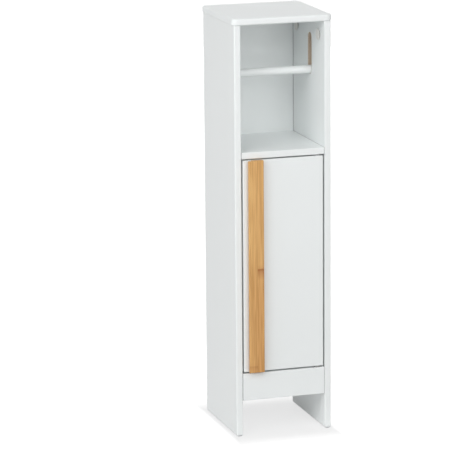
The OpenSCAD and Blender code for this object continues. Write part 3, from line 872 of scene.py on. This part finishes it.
class ROLLCABINET_OT_fittings(Operator):
    """Finishes the pivots, the caps and the catch"""

    bl_idname = "roll_cabinet.fittings"
    bl_label = "Pivots, caps and catch"

    def execute(self, context):
        steel = metal_finish("bright_zinc_plate", *BRIGHT_STEEL)
        dress(["pivot_bushes", "pivot_washer"], plastic_finish("nylon", *NYLON_GREY_AS_SHADE))
        dress(["catch_housing"], plastic_finish("housing_plastic", *HOUSING_PLASTIC))
        dress(["catch_magnet"], metal_finish("sintered_ferrite", *FERRITE))
        dress(["strike_plate", "pivot_pins", "catch_pole_plates"], steel)
        self.caps()
        return {"FINISHED"}

    def caps(self):
        """Makes the cover caps, whose narrow neck under the rim is painted dark as shade."""
        boxes = shells("cam_caps")
        low, high = boxes[-1]
        cap = lock_cap((high.z - low.z) / 2, high.x - low.x)
        caps = spread(cap, [seat(box, outwards(box), UP) for box in boxes])
        material = plastic_finish("cap_plastic", *CAP_PLASTIC, low.x + 2 * CAP_RIM)
        add_piece("moulded_cam_caps", caps, material, "white_plastic", "carcass", "cam_caps")


class ROLLCABINET_OT_screws(Operator):
    """Makes the countersunk screws of the handle, the catch and the strike plate"""

    bl_idname = "roll_cabinet.screws"
    bl_label = "Screws"

    def execute(self, context):
        settings = context.scene.roll_cabinet.fittings
        material = metal_finish("screw_steel", *BRIGHT_STEEL)
        groups = (
            ("handle_screws", HANDLE_SCREW, FORWARD, UP, "door"),
            ("catch_screws", SMALL_SCREW, UP, FORWARD, "carcass"),
            ("strike_screw", SMALL_SCREW, FORWARD, UP, "door"),
        )
        for node, shank, into, towards, body in groups:
            boxes = shells(node)
            head = (boxes[0][1].x - boxes[0][0].x) / 2
            screw = wood_screw(head, shank / 2, length_along(boxes[0], into), settings)
            places = [seat(box, into, towards) for box in boxes]
            add_piece("threaded_" + node, spread(screw, places), material, "steel", body, node)
        return {"FINISHED"}


class ROLLCABINET_OT_cam_joints(Operator):
    """Makes the cam locks, cam bolts and dowels that hold the boards together"""

    bl_idname = "roll_cabinet.cam_joints"
    bl_label = "Cam joints and dowels"

    def execute(self, context):
        settings = context.scene.roll_cabinet.fittings
        steel = metal_finish("bolt_steel", *BRIGHT_STEEL)
        zinc = metal_finish("cast_zinc", *CAST_ZINC)
        upright = beech_finish("beech_upright", axis=2)
        level = beech_finish("beech_level", axis=0)
        for joint in ("top", "shelf", "floor", "back"):
            self.locks(joint, zinc)
            self.bolts(joint, steel, settings)
        for joint in ("top", "shelf", "floor", "back", "plinth"):
            self.dowels(joint, upright if joint == "top" else level, settings)
        return {"FINISHED"}

    def into_face(self, joint, box):
        """Direction from a lock's open face into its board."""
        return {"top": outwards(box), "back": FORWARD}.get(joint, UP)

    def along_bolt(self, joint, box):
        """Direction in which the bolts and dowels of a joint point."""
        return UP if joint == "top" else outwards(box)

    def locks(self, joint, material):
        """Makes a joint's cam locks, with their slots towards the bolts."""
        node = joint + "_cam_locks"
        boxes = shells(node)
        into = self.into_face(joint, boxes[0])
        height = length_along(boxes[0], into)
        width = length_along(boxes[0], self.along_bolt(joint, boxes[0]))
        bolt = nearest(shells(joint + "_cam_bolts"), boxes[0])
        near_face = (boxes[0][0] + boxes[0][1]).dot(into) / 2 - height / 2
        bolt_depth = (bolt[0] + bolt[1]).dot(into) / 2 - near_face
        places = [
            seat(box, self.into_face(joint, box), self.along_bolt(joint, box)) for box in boxes
        ]
        locks = spread(cam_lock(width / 2, height, bolt_depth), places)
        add_piece("cast_" + node, locks, material, "zinc", "carcass", node)

    def bolts(self, joint, material, settings):
        """Makes a joint's cam bolts, with their heads in the locks."""
        node = joint + "_cam_bolts"
        boxes = shells(node)
        length = length_along(boxes[0], self.along_bolt(joint, boxes[0]))
        places = [seat(box, self.along_bolt(joint, box), FORWARD) for box in boxes]
        bolts = spread(cam_bolt(BOLT_RADIUS, length, settings), places)
        add_piece("threaded_" + node, bolts, material, "steel", "carcass", node)

    def dowels(self, joint, material, settings):
        """Makes a joint's dowels."""
        node = joint + "_dowels"
        boxes = shells(node)
        low, high = boxes[0]
        length = length_along(boxes[0], self.along_bolt(joint, boxes[0]))
        places = [seat(box, self.along_bolt(joint, box), FORWARD) for box in boxes]
        dowels = spread(fluted_dowel((high.y - low.y) / 2, length, settings), places)
        add_piece("fluted_" + node, dowels, material, "beech", "carcass", node)


class ROLLCABINET_OT_studio(Operator):
    """Sets up the camera, the lights and the pale floor"""

    bl_idname = "roll_cabinet.studio"
    bl_label = "Studio"

    def execute(self, context):
        settings = context.scene.roll_cabinet.studio
        context.scene.view_settings.view_transform = "Standard"
        self.camera(context, settings)
        self.world(context, settings)
        self.floor()
        for name, place, width, watts, mirrored in SOFTBOXES:
            power = watts * settings.softboxes
            box = self.softbox(context, "softbox_" + name, Vector(place), width, power)
            box.visible_glossy = mirrored
        return {"FINISHED"}

    def camera(self, context, settings):
        """Camera without shift, aimed by turn, tilt and roll."""
        data = bpy.data.cameras.new("camera")
        data.sensor_width = SENSOR_WIDTH
        data.lens = settings.lens
        data.clip_end = FAR_CLIP
        thing = bpy.data.objects.new("camera", data)
        context.scene.collection.objects.link(thing)
        turned = Matrix.Rotation(-settings.turn, 4, "Z")
        tilted = Matrix.Rotation(math.radians(90) - settings.tilt, 4, "X")
        leaned = Matrix.Rotation(settings.roll, 4, "Z")
        thing.matrix_world = Matrix.Translation(settings.eye) @ turned @ tilted @ leaned
        context.scene.camera = thing

    def seen_directly(self, recipe):
        """1 for rays from the camera, a mirror or a glass, and 0 for light that bounces."""
        path = recipe.node("ShaderNodeLightPath", output="Is Camera Ray")
        outputs = path.socket.node.outputs
        glossy = Signal(recipe, outputs["Is Glossy Ray"])
        through = Signal(recipe, outputs["Is Transmission Ray"])
        return path.math("MAXIMUM", path, path.math("MAXIMUM", glossy, through))

    def world(self, context, settings):
        """White background round a weak, even light."""
        world = bpy.data.worlds.new("studio")
        world.use_nodes = True
        context.scene.world = world
        recipe = Recipe(world.node_tree)
        dome, white = [
            recipe.node("ShaderNodeBackground", sockets={"Color": rgba(WHITE), "Strength": level})
            for level in (settings.dome, 1.0)
        ]
        light = recipe.mixed(self.seen_directly(recipe), dome, white)
        recipe.node("ShaderNodeOutputWorld", sockets={"Surface": light})

    def floor(self):
        """Wide floor that shows white, with the cabinet's soft shadow both rendered and painted
        into its glow.
        """
        mesh = bmesh.new()
        bmesh.ops.create_grid(mesh, x_segments=1, y_segments=1, size=FLOOR_SIZE)
        thing = as_object(mesh, "floor")
        material, recipe = new_finish("studio_floor")
        thing.data.materials.append(material)
        x, y = recipe.split(recipe.place())[:2]
        beside = SIDE_STEEPNESS * (abs(x) - FOOTPRINT)
        outside = beside.math("MAXIMUM", beside, abs(y) - FOOTPRINT)
        away = recipe.rise(outside, 0.0, SHADE_REACH)
        under, around, shaded = [
            recipe.node("ShaderNodeBsdfDiffuse", sockets={"Color": rgba(WHITE, grey)})
            for grey in (UNDER_GREY, AROUND_GREY, SEEN_GREY)
        ]
        bounce = recipe.mixed(away, under, around)
        # Painted shadow: the glow that the camera sees is weaker under and round the cabinet
        light = recipe.blend(away, rgba(WHITE, PAINTED_SHADOW_GLOW), rgba(WHITE))
        glow = recipe.node("ShaderNodeEmission", sockets={"Color": light, "Strength": GLOW})
        shown = recipe.node("ShaderNodeAddShader", sockets={0: shaded, 1: glow})
        surface = recipe.mixed(self.seen_directly(recipe), bounce, shown)
        recipe.node("ShaderNodeOutputMaterial", sockets={"Surface": surface})

    def softbox(self, context, name, place, width, power):
        """Square soft light that faces the cabinet and isn't seen itself."""
        data = bpy.data.lights.new(name, "AREA")
        data.shape = "SQUARE"
        data.size = width
        data.energy = power
        thing = bpy.data.objects.new(name, data)
        context.scene.collection.objects.link(thing)
        aim = (LIGHT_TARGET - place).to_track_quat("-Z", "Y").to_matrix().to_4x4()
        thing.matrix_world = Matrix.Translation(place) @ aim
        thing.visible_camera = False
        return thing


OPERATORS = (
    ROLLCABINET_OT_boards,
    ROLLCABINET_OT_handle,
    ROLLCABINET_OT_fittings,
    ROLLCABINET_OT_screws,
    ROLLCABINET_OT_cam_joints,
    ROLLCABINET_OT_studio,
)


class ROLLCABINET_PT_making(Panel):
    """Lists the steps and the settings"""

    bl_idname = "ROLLCABINET_PT_making"
    bl_label = "Roll Cabinet"
    bl_space_type = "VIEW_3D"
    bl_region_type = "UI"
    bl_category = "Roll Cabinet"

    def draw(self, context):
        settings = context.scene.roll_cabinet
        for group in (settings.lacquer, settings.bamboo, settings.fittings, settings.studio):
            box = self.layout.box()
            for name in group.__annotations__:
                box.prop(group, name)
        for operator in OPERATORS:
            self.layout.operator(operator.bl_idname)


CLASSES = (
    LacquerSettings, BambooSettings, FittingSettings, StudioSettings, CabinetSettings,
    *OPERATORS, ROLLCABINET_PT_making,
)


def register():
    for each in CLASSES:
        bpy.utils.register_class(each)
    bpy.types.Scene.roll_cabinet = PointerProperty(type=CabinetSettings)


def unregister():
    del bpy.types.Scene.roll_cabinet
    for each in reversed(CLASSES):
        bpy.utils.unregister_class(each)


def main():
    register()
    for operator in OPERATORS:
        group, name = operator.bl_idname.split(".")
        getattr(getattr(bpy.ops, group), name)()


if __name__ == "__main__":
    main()
